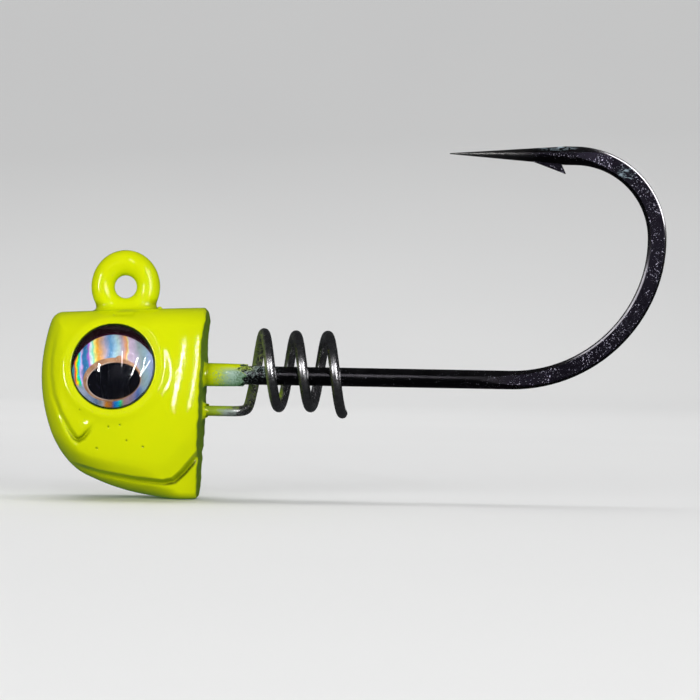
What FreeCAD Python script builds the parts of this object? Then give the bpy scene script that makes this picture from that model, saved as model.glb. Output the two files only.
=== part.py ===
"""Jig head: a lead head cast round a 90 degree hook and the leg of a screw-in bait keeper.

Frame: millimetres, origin at the centre of the line-tie ring.  +X runs along the hook's shank
from the head to the bend, +Z points up from the head to the ring, and the head, hook and keeper
are centred on the XZ plane.  Each side of the head has a domed eye glued into a round socket.
"""
import FreeCAD, Part
import math
import os
import Sketcher

SIZES = [
    # hook, one forged wire
    ("hookWire", "1.8", "hook wire diameter"),
    ("ringRadius", "2.2", "line-tie ring, centre of the wire"),
    ("shankZ", "-8.27", "shank axis height"),
    ("neckBend", "2.5", "bend between neck and shank, wire centre"),
    ("bendStart", "37.16", "end of the straight shank"),
    ("lowerRadius", "13.9", "first arc of the hook bend"),
    ("lowerTurn", "68.9", "turn of the first arc, degrees"),
    ("middleRadius", "13.16", "second arc of the hook bend"),
    ("middleTurn", "22.4", "turn of the second arc, degrees"),
    ("upperRadius", "7.92", "third arc of the hook bend"),
    ("upperTurn", "88.7", "turn of the third arc, degrees"),
    ("buttLength", "1.0", "full wire between the bend and the needle point"),
    ("pointLength", "11.17", "ground needle point"),
    ("tipRadius", "0.05", "end of the needle point"),
    ("barbLength", "3.6", "barb, from its root to its free tip"),
    ("barbBack", "1.0", "barb tip, ahead of the end of the bend"),
    ("barbDrop", "1.75", "barb tip, below the point's axis"),
    ("barbWidth", "0.6", "barb thickness across the wire"),
    ("flatHalf", "0.62", "half thickness between the forged flats"),
    ("flatRampStart", "34", "forged flats begin, lower side"),
    ("flatRampEnd", "41", "forged flats reach full depth, lower side"),
    ("upperRampStart", "43", "forged flats end, point side"),
    ("upperRampEnd", "46.5", "forged flats at full depth, point side"),
    ("flatSplitZ", "6", "height that separates the two runs of the flats"),
    ("flatReach", "54", "beyond the hook bend"),
    # head, outer painted surface
    ("coat", "0.2", "baked paint thickness"),
    ("topBackX", "7.7", "upper back corner of the head"),
    ("topBackZ", "-1.92", "upper back corner of the head"),
    ("topSlope", "2.9", "fall of the top towards the nose, degrees"),
    ("backRake", "1.9", "rake of the flat back face, degrees"),
    ("cornerRadius", "1.0", "corner between top and nose"),
    ("noseRadius", "15.74", "nose arc"),
    ("noseCentreX", "8.1", "nose arc centre"),
    ("noseCentreZ", "-8.54", "nose arc centre"),
    ("chinRadius", "6.0", "chin arc"),
    ("bellyRadius", "22.0", "belly arc"),
    ("bellyCentreX", "5.8", "belly arc centre"),
    ("bellyCentreZ", "1.65", "belly arc centre"),
    ("headHalfWidth", "6.0", "half width at the widest section"),
    ("widestX", "3.0", "widest section"),
    ("cheekRadius", "24.3", "plan arc of the flanks, ahead of the widest section"),
    ("tailRadius", "9.0", "plan arc of the flanks, behind the widest section"),
    ("flankRadius", "20.6", "section arc of the flanks"),
    ("flankZ", "-10.0", "height of the fullest point of the flanks"),
    ("flankHeight", "25", "height of the flank cutters"),
    ("edgeRound", "1.3", "rounding of the head's edges"),
    ("jawDepth", "0.4", "step below the jaw line"),
    ("jawFrontX", "-3.6", "front end of the jaw line"),
    ("jawFrontZ", "-17.1", "front end of the jaw line"),
    ("jawMiddleX", "0.0", "middle of the jaw line"),
    ("jawMiddleZ", "-17.85", "middle of the jaw line"),
    ("jawNotchX", "4.7", "lowest point of the jaw line"),
    ("jawNotchZ", "-18.25", "lowest point of the jaw line"),
    ("jawBackX", "9.0", "jaw line, behind the back face"),
    ("jawBackZ", "-14.4", "jaw line, behind the back face"),
    ("toolMargin", "1.0", "reach of a cutting tool past what it cuts"),
    # eyes
    ("eyeX", "-0.69", "eye centre"),
    ("eyeZ", "-7.56", "eye centre"),
    ("socketRadius", "4.0", "eye socket"),
    ("socketDepth", "0.9", "socket floor below the flank at the eye centre"),
    ("eyeRadius", "3.9", "stick-on eye"),
    ("adhesiveThickness", "0.15", "adhesive disc"),
    ("filmThickness", "0.1", "printed film disc"),
    ("lensRim", "0.45", "lens edge thickness"),
    ("lensRise", "1.5", "rise of the lens dome above its edge"),
    # bait keeper
    ("keeperWire", "1.0", "keeper wire diameter"),
    ("keeperZ", "-7.8", "keeper coil axis height"),
    ("keeperRadius", "3.42", "coil radius, wire centre"),
    ("keeperSwell", "0.53", "extra radius at the leg"),
    ("keeperFlare", "0.55", "extra radius at the cut end"),
    ("keeperPitch", "3.05", "coil pitch"),
    ("keeperTurns", "3.0", "turns of the coil"),
    ("keeperStart", "11.62", "where the line of the helix meets the leg"),
    ("keeperLead", "0.27", "extra advance gained in the first part of the coil"),
    ("swellDecay", "2.2", "fall of the extra radius at the leg, per turn"),
    ("flareDecay", "5.0", "fall of the extra radius at the cut end, per turn"),
    ("leadDecay", "5.0", "fall of the extra advance, per turn"),
    ("keeperBend", "1.6", "bend between leg and helix"),
    ("keeperFoot", "1.5", "inner end of the leg, cast into the head"),
    # paint on the wires
    ("sleeveEnd", "11.0", "end of the paint on the shank"),
    ("legSleeveEnd", "9.0", "end of the paint on the keeper's leg"),
    ("sleeveTaper", "0.04", "paint thickness gained per mm towards the head"),
    ("feather", "0.05", "paint thickness where it runs out"),
]

doc = FreeCAD.newDocument("jig_head")
sheet = doc.addObject("Spreadsheet::Sheet", "Sizes")
for row, (alias, value, meaning) in enumerate(SIZES, start=1):
    sheet.set(f"A{row}", meaning)
    sheet.set(f"B{row}", value)
    sheet.setAlias(f"B{row}", alias)
doc.recompute()

LEFT, RIGHT = -1, 1                      # the head faces -X, so its left side is -Y
SIDES = (("left", LEFT), ("right", RIGHT))
nodes = []                               # the finished sub-parts, one file each


def size(alias):
    return float(sheet.get(alias))


def point(x, y, z=0.0):
    return FreeCAD.Vector(x, y, z)


# ---------------------------------------------------------------- helpers

def origin_plane(body, role):
    return next(item for item in body.Origin.OriginFeatures if item.Role == role)


def new_body(name):
    return doc.addObject("PartDesign::Body", name)


def new_sketch(body, name, role):
    sketch = body.newObject("Sketcher::SketchObject", name)
    sketch.AttachmentSupport = [(origin_plane(body, role), "")]
    sketch.MapMode = "FlatFace"
    return sketch


def bind(sketch, kind, *where, to):
    """A dimension of the sketch, driven by an expression of the sheet."""
    index = sketch.addConstraint(Sketcher.Constraint(kind, *where, sketch.evalExpression(to)))
    sketch.setExpression(f"Constraints[{index}]", to)


def fix(sketch, kind, *where):
    sketch.addConstraint(Sketcher.Constraint(kind, *where))


def place(sketch, line, end, x, z):
    """Dimension one end of a line, or an arc's centre, from the sketch origin."""
    bind(sketch, "DistanceX", -1, 1, line, end, to=x)
    bind(sketch, "DistanceY", -1, 1, line, end, to=z)


def arc(centre, radius, start, end):
    return Part.ArcOfCircle(Part.Circle(centre, point(0, 0, 1), radius), start, end)


def polygon(sketch, corners):
    """A closed outline of straight lines whose corners are (x, z) expressions."""
    values = [point(*(sketch.evalExpression(value) for value in corner)) for corner in corners]
    count = len(values)
    lines = [sketch.addGeometry(Part.LineSegment(values[i], values[(i + 1) % count]))
             for i in range(count)]
    for i, line in enumerate(lines):
        fix(sketch, "Coincident", line, 2, lines[(i + 1) % count], 1)
    for line, (x, z) in zip(lines, corners):
        place(sketch, line, 1, x, z)
    return lines


def primitive(kind, name, placement=None, **sizes):
    """A Part primitive whose sizes are expressions of the sheet."""
    shape = doc.addObject(kind, name)
    for prop, expression in sizes.items():
        shape.setExpression(prop, expression)
    if placement:
        shape.Placement = placement
    return shape


def cut(name, base, tool):
    result = doc.addObject("Part::Cut", name)
    result.Base = base
    result.Tool = tool
    return result


def fuse(name, shapes):
    result = doc.addObject("Part::MultiFuse", name)
    result.Shapes = shapes
    return result


def node(shape, label):
    """Name a finished sub-part and list it for writing."""
    shape.Label = label
    nodes.append(shape)
    return shape


# ---------------------------------------------------------------- hook

def hook_spine(body):
    """Neck, 90 degree bend, shank, three arcs of the hook bend and the butt of the point."""
    sketch = new_sketch(body, "HookSpine", "XZ_Plane")
    neck_bend = size("neckBend")
    shank_z = size("shankZ")
    neck_top = point(0, -size("ringRadius"))
    neck_end = point(0, shank_z + neck_bend)
    shank_start = point(neck_bend, shank_z)
    shank_end = point(size("bendStart"), shank_z)
    chain = [
        sketch.addGeometry(Part.LineSegment(neck_top, neck_end)),
        sketch.addGeometry(arc(point(neck_bend, neck_end.y), neck_bend, math.pi, 1.5 * math.pi)),
        sketch.addGeometry(Part.LineSegment(shank_start, shank_end)),
    ]
    bends = (("lowerRadius", "lowerTurn"), ("middleRadius", "middleTurn"),
             ("upperRadius", "upperTurn"))
    here, heading = shank_end, 0.0
    for radius, turn in bends:
        start = heading - math.pi / 2
        centre = here - point(math.cos(start), math.sin(start)) * size(radius)
        end = start + math.radians(size(turn))
        chain.append(sketch.addGeometry(arc(centre, size(radius), start, end)))
        here = centre + point(math.cos(end), math.sin(end)) * size(radius)
        heading += math.radians(size(turn))
    butt_end = here + point(math.cos(heading), math.sin(heading)) * size("buttLength")
    chain.append(sketch.addGeometry(Part.LineSegment(here, butt_end)))
    for before, after in zip(chain, chain[1:]):
        fix(sketch, "Tangent", before, 2, after, 1)
    neck, bend, shank = chain[:3]
    fix(sketch, "PointOnObject", neck, 1, -2)
    fix(sketch, "Vertical", neck)
    fix(sketch, "Horizontal", shank)
    bind(sketch, "DistanceY", -1, 1, neck, 1, to="-Sizes.ringRadius")
    bind(sketch, "DistanceY", -1, 1, shank, 2, to="Sizes.shankZ")
    bind(sketch, "DistanceX", -1, 1, shank, 2, to="Sizes.bendStart")
    bind(sketch, "Radius", bend, to="Sizes.neckBend")
    for element, (radius, turn) in zip(chain[3:6], bends):
        bind(sketch, "Radius", element, to=f"Sizes.{radius}")
        bind(sketch, "Angle", element, to=f"Sizes.{turn} * 1 deg")
    bind(sketch, "Distance", chain[-1], to="Sizes.buttLength")
    return sketch, chain


def forge_flats(body, name, ramp_start, ramp_end, upward):
    """Cut both sides of the bend flat, with a ramp where the flats begin."""
    sketch = new_sketch(body, name + "Outline", "XY_Plane")
    sketch.setExpression("AttachmentOffset.Base.z", "Sizes.flatSplitZ")
    for side in ("", "-"):
        outside = f"{side}Sizes.hookWire"
        flat = f"{side}Sizes.flatHalf"
        polygon(sketch, [
            (f"Sizes.{ramp_start}", f"{side}Sizes.hookWire / 2"),
            (f"Sizes.{ramp_end}", flat),
            ("Sizes.flatReach", flat),
            ("Sizes.flatReach", outside),
            (f"Sizes.{ramp_start}", outside)])
    pocket = body.newObject("PartDesign::Pocket", name)
    pocket.Profile = sketch
    pocket.setExpression("Length", "2 * Sizes.lowerRadius")
    pocket.Reversed = upward
    doc.recompute()
    assert pocket.Shape.Volume < pocket.BaseFeature.Shape.Volume


def make_hook():
    body = new_body("Hook")
    spine, chain = hook_spine(body)
    section = new_sketch(body, "HookSection", "XY_Plane")
    section.setExpression("AttachmentOffset.Base.z", "-Sizes.ringRadius")
    circle = section.addGeometry(Part.Circle(point(0, 0), point(0, 0, 1), size("hookWire") / 2))
    fix(section, "Coincident", circle, 3, -1, 1)
    bind(section, "Diameter", circle, to="Sizes.hookWire")
    doc.recompute()
    wire = body.newObject("PartDesign::AdditivePipe", "HookWire")
    wire.Profile = section
    wire.Spine = (spine, [f"Edge{i + 1}" for i in range(len(chain))])
    doc.recompute()

    ring_section = new_sketch(body, "RingSection", "XY_Plane")
    circle = ring_section.addGeometry(
        Part.Circle(point(size("ringRadius"), 0), point(0, 0, 1), size("hookWire") / 2))
    fix(ring_section, "PointOnObject", circle, 3, -1)
    bind(ring_section, "DistanceX", -1, 1, circle, 3, to="Sizes.ringRadius")
    bind(ring_section, "Diameter", circle, to="Sizes.hookWire")
    ring = body.newObject("PartDesign::Revolution", "LineTieRing")
    ring.Profile = ring_section
    ring.ReferenceAxis = (ring_section, ["V_Axis"])
    ring.Angle = 360
    doc.recompute()

    forge_flats(body, "LowerFlats", "flatRampStart", "flatRampEnd", upward=False)
    forge_flats(body, "UpperFlats", "upperRampStart", "upperRampEnd", upward=True)

    # the needle point, turned about the line of the butt
    outline = new_sketch(body, "NeedleOutline", "XZ_Plane")
    outline.addExternal(spine.Name, f"Edge{len(chain)}")
    butt = spine.Geometry[-1]
    base, tip = butt.EndPoint, butt.EndPoint - point(size("pointLength"), 0)
    shoulder = base + point(0, size("hookWire") / 2)
    tip_edge = tip + point(0, size("tipRadius"))
    lines = [outline.addGeometry(Part.LineSegment(a, b))
             for a, b in ((base, shoulder), (shoulder, tip_edge), (tip_edge, tip), (tip, base))]
    for i in range(4):
        fix(outline, "Coincident", lines[i], 2, lines[(i + 1) % 4], 1)
    fix(outline, "Coincident", lines[0], 1, -3, 2)
    fix(outline, "Vertical", lines[0])
    fix(outline, "Vertical", lines[2])
    fix(outline, "Horizontal", lines[3])
    bind(outline, "Distance", lines[0], to="Sizes.hookWire / 2")
    bind(outline, "Distance", lines[2], to="Sizes.tipRadius")
    bind(outline, "Distance", lines[3], to="Sizes.pointLength")
    needle = body.newObject("PartDesign::Revolution", "NeedlePoint")
    needle.Profile = outline
    needle.ReferenceAxis = (outline, [f"Edge{len(lines)}"])
    needle.Angle = 360
    doc.recompute()

    # the barb, a sliver raised from the inner side of the point, its free tip towards the bend
    sliver = new_sketch(body, "BarbOutline", "XZ_Plane")
    sliver.addExternal(spine.Name, f"Edge{len(chain)}")
    start = butt.StartPoint
    free = start - point(size("barbBack"), size("barbDrop"))
    root = free + point(-size("barbLength"), size("barbDrop") - size("hookWire") / 4)
    heel = free + point(-size("barbWidth"), size("barbDrop") - size("hookWire") / 4)
    lines = [sliver.addGeometry(Part.LineSegment(a, b))
             for a, b in ((free, heel), (heel, root), (root, free))]
    for i in range(3):
        fix(sliver, "Coincident", lines[i], 2, lines[(i + 1) % 3], 1)
    fix(sliver, "Horizontal", lines[1])
    bind(sliver, "DistanceX", lines[0], 1, -3, 1, to="Sizes.barbBack")
    bind(sliver, "DistanceY", lines[0], 1, -3, 1, to="Sizes.barbDrop")
    bind(sliver, "DistanceX", lines[1], 2, lines[0], 1, to="Sizes.barbLength")
    bind(sliver, "DistanceY", lines[0], 1, lines[1], 2, to="Sizes.barbDrop - Sizes.hookWire / 4")
    bind(sliver, "DistanceX", lines[1], 1, lines[0], 1, to="Sizes.barbWidth")
    barb = body.newObject("PartDesign::Pad", "Barb")
    barb.Profile = sliver
    barb.setExpression("Length", "Sizes.barbWidth")
    barb.Midplane = True
    doc.recompute()
    return node(body, "hook")


# ---------------------------------------------------------------- bait keeper

def make_keeper():
    """A leg along +X, bent into a right-handed helix about the shank.

    The line of the wire is laid out flat on the unrolled cylinder of the coil, as x along the
    axis and s along the girth, and then wrapped on: straight leg, tangent arc, sloping line.
    """
    pitch, turns, bend = size("keeperPitch"), size("keeperTurns"), size("keeperBend")
    axis_z, radius = size("keeperZ"), size("keeperRadius")
    girth = 2 * math.pi * radius
    lead, lead_decay = size("keeperLead"), size("leadDecay")
    slope = math.atan2(pitch + lead * lead_decay, girth)
    turn = math.pi / 2 - slope
    leg_end = size("keeperStart") - bend * math.tan(turn / 2)

    def wrap(x, s):
        wound = s / girth
        swell = size("keeperSwell") * math.exp(-size("swellDecay") * wound)
        flare = size("keeperFlare") * math.exp(-size("flareDecay") * (turns - wound))
        reach = radius + swell + flare
        angle = 2 * math.pi * wound - math.pi / 2
        return point(x, reach * math.cos(angle), axis_z + reach * math.sin(angle))

    bend_steps, turn_steps = 6, 16
    flat = [(leg_end + bend * math.sin(a), bend * (1 - math.cos(a)))
            for a in (turn * i / bend_steps for i in range(bend_steps + 1))]
    helix_start = flat[-1][1]
    helix_steps = round(turn_steps * turns)
    flat += [(size("keeperStart") + pitch * s / girth
              + lead * (1 - math.exp(-lead_decay * s / girth)), s)
             for s in (helix_start + (girth * turns - helix_start) * i / helix_steps
                       for i in range(1, helix_steps + 1))]
    curve = Part.BSplineCurve()
    curve.interpolate(Points=[wrap(x, s) for x, s in flat])
    leg_start = point(size("keeperFoot"), 0, wrap(leg_end, 0).z)
    leg = Part.LineSegment(leg_start, wrap(leg_end, 0))
    spine = doc.addObject("Part::Feature", "KeeperSpine")
    spine.Shape = Part.Wire([leg.toShape(), curve.toShape()])

    section = primitive("Part::Circle", "KeeperSection", Radius="Sizes.keeperWire / 2")
    section.Placement = FreeCAD.Placement(leg_start, FreeCAD.Rotation(point(0, 1, 0), 90))
    sweep = doc.addObject("Part::Sweep", "Keeper")
    sweep.Sections = [section]
    sweep.Spine = (spine, ["Edge1", "Edge2"])
    sweep.Solid = True
    sweep.Frenet = False
    return node(sweep, "bait_keeper_coil"), leg_start.z


# ---------------------------------------------------------------- head

def circles_meet(first, first_radius, second, second_radius):
    """The crossing of two circles that lies to the left of the line from first to second."""
    apart = second - first
    reach = apart.Length
    along = (first_radius ** 2 - second_radius ** 2 + reach ** 2) / (2 * reach)
    aside = math.sqrt(first_radius ** 2 - along ** 2)
    return first + apart * (along / reach) + point(-apart.y, apart.x) * (aside / reach)


def ray_meets_circle(start, direction, centre, radius):
    """The far crossing of a ray with a circle."""
    offset = start - centre
    half = offset.dot(direction)
    return start + direction * (math.sqrt(half ** 2 - offset.dot(offset) + radius ** 2) - half)


def head_outline(body, name, skin, tail):
    """Side outline: flat top, corner, nose, chin and belly arcs, raked flat back."""
    sketch = new_sketch(body, name, "XZ_Plane")
    slope, rake = math.radians(size("topSlope")), math.radians(size("backRake"))
    nose = point(size("noseCentreX"), size("noseCentreZ"))
    belly = point(size("bellyCentreX"), size("bellyCentreZ"))
    corner_r, nose_r = size("cornerRadius"), size("noseRadius")
    chin_r, belly_r = size("chinRadius"), size("bellyRadius")
    top_back = point(size("topBackX"), size("topBackZ"))
    forward = point(-math.cos(slope), -math.sin(slope))
    below = point(math.sin(slope), -math.cos(slope))
    corner = ray_meets_circle(top_back + below * corner_r, forward, nose, nose_r - corner_r)
    chin = circles_meet(nose, nose_r - chin_r, belly, belly_r - chin_r)
    back_foot = ray_meets_circle(top_back, point(-math.sin(rake), -math.cos(rake)), belly, belly_r)

    def bearing(centre, target):
        return math.atan2(target.y - centre.y, target.x - centre.x) % (2 * math.pi)

    joints = [math.pi / 2 + slope, bearing(nose, corner), bearing(nose, chin), bearing(belly, chin),
              bearing(belly, back_foot)]
    arcs = ((corner, corner_r, "cornerRadius"), (nose, nose_r, "noseRadius"),
            (chin, chin_r, "chinRadius"), (belly, belly_r, "bellyRadius"))
    top_front = corner - below * corner_r
    top = sketch.addGeometry(Part.LineSegment(top_back, top_front))
    round_run = [sketch.addGeometry(arc(centre, radius, joints[i], joints[i + 1]))
                 for i, (centre, radius, _) in enumerate(arcs)]
    back = sketch.addGeometry(Part.LineSegment(back_foot, top_back))
    for before, after in zip([top] + round_run, round_run):
        fix(sketch, "Tangent", before, 2, after, 1)
    fix(sketch, "Coincident", round_run[-1], 2, back, 1)
    fix(sketch, "Coincident", back, 2, top, 1)
    for element, (_, _, alias) in zip(round_run, arcs):
        bind(sketch, "Radius", element, to=f"Sizes.{alias} - {skin}")
    place(sketch, round_run[1], 3, "Sizes.noseCentreX", "Sizes.noseCentreZ")
    place(sketch, round_run[3], 3, "Sizes.bellyCentreX", "Sizes.bellyCentreZ")
    place(sketch, top, 1, f"Sizes.topBackX - {skin} + {tail}", f"Sizes.topBackZ - {skin}")
    bind(sketch, "Angle", -1, top, to="(180 + Sizes.topSlope) * 1 deg")
    bind(sketch, "Angle", -1, back, to="(90 - Sizes.backRake) * 1 deg")
    return sketch


def flank_section(body, name, inset, plan_radius):
    """What is cut away outside the flank's section arc, with the turning axis of the plan arc."""
    sketch = new_sketch(body, name, "YZ_Plane")
    sketch.setExpression("AttachmentOffset.Base.z", "Sizes.widestX")
    sketch.setExpression("AttachmentOffset.Base.y", "Sizes.flankZ")
    radius = size("flankRadius") - sketch.evalExpression(inset)
    centre = point(size("headHalfWidth") - size("flankRadius"), 0)
    half = size("flankHeight") / 2
    sweep = math.asin(half / radius)
    outer = size("headHalfWidth") + 3 * size("toolMargin")
    low = centre + point(radius * math.cos(sweep), -half)
    high = centre + point(radius * math.cos(sweep), half)
    face = sketch.addGeometry(arc(centre, radius, -sweep, sweep))
    upper = sketch.addGeometry(Part.LineSegment(high, point(outer, half)))
    outside = sketch.addGeometry(Part.LineSegment(point(outer, half), point(outer, -half)))
    lower = sketch.addGeometry(Part.LineSegment(point(outer, -half), low))
    axis_y = size("headHalfWidth") - size(plan_radius)
    axis = sketch.addGeometry(Part.LineSegment(point(axis_y, -1), point(axis_y, 1)), True)
    fix(sketch, "Coincident", face, 2, upper, 1)
    fix(sketch, "Coincident", upper, 2, outside, 1)
    fix(sketch, "Coincident", outside, 2, lower, 1)
    fix(sketch, "Coincident", lower, 2, face, 1)
    fix(sketch, "Horizontal", upper)
    fix(sketch, "Vertical", outside)
    fix(sketch, "Horizontal", lower)
    fix(sketch, "Symmetric", face, 1, face, 2, -1)
    fix(sketch, "Symmetric", axis, 1, axis, 2, -1)
    bind(sketch, "Radius", face, to=f"Sizes.flankRadius - {inset}")
    bind(sketch, "DistanceX", -1, 1, face, 3, to="Sizes.headHalfWidth - Sizes.flankRadius")
    bind(sketch, "DistanceY", outside, 2, outside, 1, to="Sizes.flankHeight")
    bind(sketch, "DistanceX", -1, 1, outside, 1, to="Sizes.headHalfWidth + 3 * Sizes.toolMargin")
    bind(sketch, "DistanceX", -1, 1, axis, 1, to=f"Sizes.headHalfWidth - Sizes.{plan_radius}")
    bind(sketch, "DistanceY", axis, 1, axis, 2, to="2")
    return sketch


def head_form(name, skin, jaw="0", tail="0", rounded=True):
    """The head without sockets: the outer surface moved in by skin, the flanks also by jaw."""
    body = new_body(name)
    block = body.newObject("PartDesign::Pad", name + "Block")
    block.Profile = head_outline(body, name + "Outline", skin, tail)
    block.setExpression("Length", "2 * Sizes.headHalfWidth + Sizes.toolMargin")
    block.Midplane = True
    doc.recompute()
    grooves = []
    for part, plan_radius, swing, behind in (("Cheek", "cheekRadius", 40, False),
                                             ("Tail", "tailRadius", 60, True)):
        section = flank_section(body, name + part + "Section", f"({skin} + {jaw})", plan_radius)
        groove = body.newObject("PartDesign::Groove", name + part)
        groove.Profile = section
        groove.ReferenceAxis = (section, ["Axis0"])
        groove.Angle = swing
        groove.Reversed = behind
        doc.recompute()
        assert groove.Shape.Volume < groove.BaseFeature.Shape.Volume
        grooves.append(groove)
    both = body.newObject("PartDesign::Mirrored", name + "BothFlanks")
    both.Originals = grooves
    both.MirrorPlane = (origin_plane(body, "XZ_Plane"), [""])
    body.Tip = both
    doc.recompute()
    if rounded:
        # every edge between the flanks and the outline, apart from the edges of the flat back
        fillet = body.newObject("PartDesign::Fillet", name + "Rounding")
        fillet.Base = (both, [f"Edge{i}" for i, edge in enumerate(both.Shape.Edges, start=1)
                              if is_side_edge(edge.BoundBox)])
        fillet.setExpression("Radius", f"Sizes.edgeRound - {skin}")
        doc.recompute()
    return body


def is_side_edge(box):
    """An edge on one side of the head, neither the widest section's seam nor the back's edge."""
    one_side = box.YMin * box.YMax > 0
    seam = box.XLength < 0.01
    back_edge = box.XMin > size("widestX") + 1 and box.ZLength > size("flankHeight") / 2
    return one_side and not seam and not back_edge


def jaw_recess(name, skin):
    """What the step below the jaw line takes off both flanks."""
    zone = new_body(name + "Zone")
    outline = new_sketch(zone, name + "Line", "XZ_Plane")
    jaw_line = [(f"Sizes.jaw{place_name}X", f"Sizes.jaw{place_name}Z + {skin}")
                for place_name in ("Front", "Middle", "Notch", "Back")]
    below = "Sizes.bellyCentreZ - Sizes.bellyRadius - Sizes.toolMargin"
    ahead = "Sizes.jawFrontX - 2 * Sizes.toolMargin"
    polygon(outline, jaw_line + [("Sizes.jawBackX", below), (ahead, below)])
    slab = zone.newObject("PartDesign::Pad", name + "Slab")
    slab.Profile = outline
    slab.setExpression("Length", "2 * (Sizes.headHalfWidth + Sizes.toolMargin)")
    slab.Midplane = True
    core = head_form(name + "Core", skin, jaw="Sizes.jawDepth", tail="Sizes.jawDepth", rounded=False)
    return cut(name, zone, core)


# ---------------------------------------------------------------- eyes

def eye_frame(side, depth):
    """Placement on the flank at the eye centre, sunk by depth, its Z axis out of the head."""
    back = size("eyeX") - size("widestX")
    rise = size("eyeZ") - size("flankZ")
    yaw = math.asin(back / size("cheekRadius"))
    pitch = math.asin(rise / size("flankRadius"))
    level = math.cos(pitch)
    outward = point(math.sin(yaw) * level, side * math.cos(yaw) * level, math.sin(pitch))
    half = (size("headHalfWidth") - size("cheekRadius") * (1 - math.cos(yaw))
            - size("flankRadius") * (1 - math.cos(pitch)))
    centre = point(size("eyeX"), side * half, size("eyeZ"))
    return FreeCAD.Placement(centre - outward * depth, FreeCAD.Rotation(point(0, 0, 1), outward))


def sockets(name, skin):
    """Two round cutters, grown by skin, that reach out past the flanks."""
    depth = size("socketDepth") + (size("coat") if skin != "0" else 0)
    return fuse(name, [
        primitive("Part::Cylinder", name + side_name, eye_frame(side, depth),
                  Radius=f"Sizes.socketRadius + {skin}", Height="4 * Sizes.socketDepth")
        for side_name, side in SIDES])


def make_lens(side_name, side, depth):
    """Clear dome: a rim of even thickness under a spherical cap."""
    body = new_body("Lens" + side_name)
    sketch = new_sketch(body, "LensOutline" + side_name, "XZ_Plane")
    reach, rim, rise = size("eyeRadius"), size("lensRim"), size("lensRise")
    radius = (reach ** 2 + rise ** 2) / (2 * rise)
    centre = point(0, rim + rise - radius)
    edge_angle = math.asin((rim - centre.y) / radius)
    base = sketch.addGeometry(Part.LineSegment(point(0, 0), point(reach, 0)))
    edge = sketch.addGeometry(Part.LineSegment(point(reach, 0), point(reach, rim)))
    dome = sketch.addGeometry(arc(centre, radius, edge_angle, math.pi / 2))
    axis = sketch.addGeometry(Part.LineSegment(point(0, rim + rise), point(0, 0)))
    fix(sketch, "Coincident", base, 2, edge, 1)
    fix(sketch, "Coincident", edge, 2, dome, 1)
    fix(sketch, "Coincident", dome, 2, axis, 1)
    fix(sketch, "Coincident", axis, 2, base, 1)
    fix(sketch, "Coincident", base, 1, -1, 1)
    fix(sketch, "Horizontal", base)
    fix(sketch, "Vertical", edge)
    fix(sketch, "Vertical", axis)
    fix(sketch, "PointOnObject", dome, 3, axis)
    bind(sketch, "Distance", base, to="Sizes.eyeRadius")
    bind(sketch, "Distance", edge, to="Sizes.lensRim")
    bind(sketch, "Distance", axis, to="Sizes.lensRim + Sizes.lensRise")
    turned = body.newObject("PartDesign::Revolution", "LensDome" + side_name)
    turned.Profile = sketch
    turned.ReferenceAxis = (sketch, ["V_Axis"])
    turned.Angle = 360
    doc.recompute()
    body.Placement = eye_frame(side, depth)
    return node(body, "eye_lens_" + side_name)


def make_eyes():
    """Adhesive, film and lens stacked on the floor of each socket."""
    for side_name, side in SIDES:
        depth = size("socketDepth")
        for part, thickness in (("adhesive", "adhesiveThickness"), ("film", "filmThickness")):
            disc = primitive("Part::Cylinder", part + side_name, eye_frame(side, depth),
                             Radius="Sizes.eyeRadius", Height=f"Sizes.{thickness}")
            node(disc, f"eye_{part}_{side_name}")
            depth -= size(thickness)
        make_lens(side_name, side, depth)


# ---------------------------------------------------------------- assembly

def sleeve_root(end):
    """Paint thickness, inside the head, of a sleeve that thins out to its end."""
    return f"Sizes.feather + Sizes.sleeveTaper * (Sizes.{end} - Sizes.widestX)"


hook = make_hook()
keeper, leg_z = make_keeper()
wires = fuse("Wires", [hook, keeper])

bare_head = cut("BareHead", cut("BareJaw", head_form("Metal", "Sizes.coat"),
                                jaw_recess("MetalRecess", "Sizes.coat")),
                sockets("MetalSockets", "Sizes.coat"))
node(cut("Casting", bare_head, wires), "head_casting")

painted_head = cut("PaintedHead", cut("PaintedJaw", head_form("Painted", "0"),
                                      jaw_recess("PaintedRecess", "0")),
                   sockets("PaintedSockets", "0"))
along_x = FreeCAD.Rotation(point(0, 1, 0), 90)
ring_paint = primitive("Part::Torus", "RingPaint",
                       FreeCAD.Placement(point(0, 0, 0), FreeCAD.Rotation(point(1, 0, 0), 90)),
                       Radius1="Sizes.ringRadius", Radius2="Sizes.hookWire / 2 + Sizes.coat")
shank_paint = primitive("Part::Cone", "ShankPaint",
                        FreeCAD.Placement(point(size("widestX"), 0, size("shankZ")), along_x),
                        Radius1=f"Sizes.hookWire / 2 + {sleeve_root('sleeveEnd')}",
                        Radius2="Sizes.hookWire / 2 + Sizes.feather",
                        Height="Sizes.sleeveEnd - Sizes.widestX")
leg_paint = primitive("Part::Cone", "LegPaint",
                      FreeCAD.Placement(point(size("widestX"), 0, leg_z), along_x),
                      Radius1=f"Sizes.keeperWire / 2 + {sleeve_root('legSleeveEnd')}",
                      Radius2="Sizes.keeperWire / 2 + Sizes.feather",
                      Height="Sizes.legSleeveEnd - Sizes.widestX")
paint_block = fuse("PaintBlock", [painted_head, ring_paint, shank_paint, leg_paint])
node(cut("PaintFilm", cut("PaintSkin", paint_block, bare_head), wires), "powder_coat")

make_eyes()
doc.recompute()

for item in doc.Objects:
    faults = [word for word in item.State if word in ("Invalid", "Error")]
    if faults:
        raise RuntimeError(f"{item.Label} is {faults}")
for item in nodes:
    if item.Shape.isNull() or not item.Shape.isValid():
        raise RuntimeError(f"{item.Label} has no valid shape")

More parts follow.
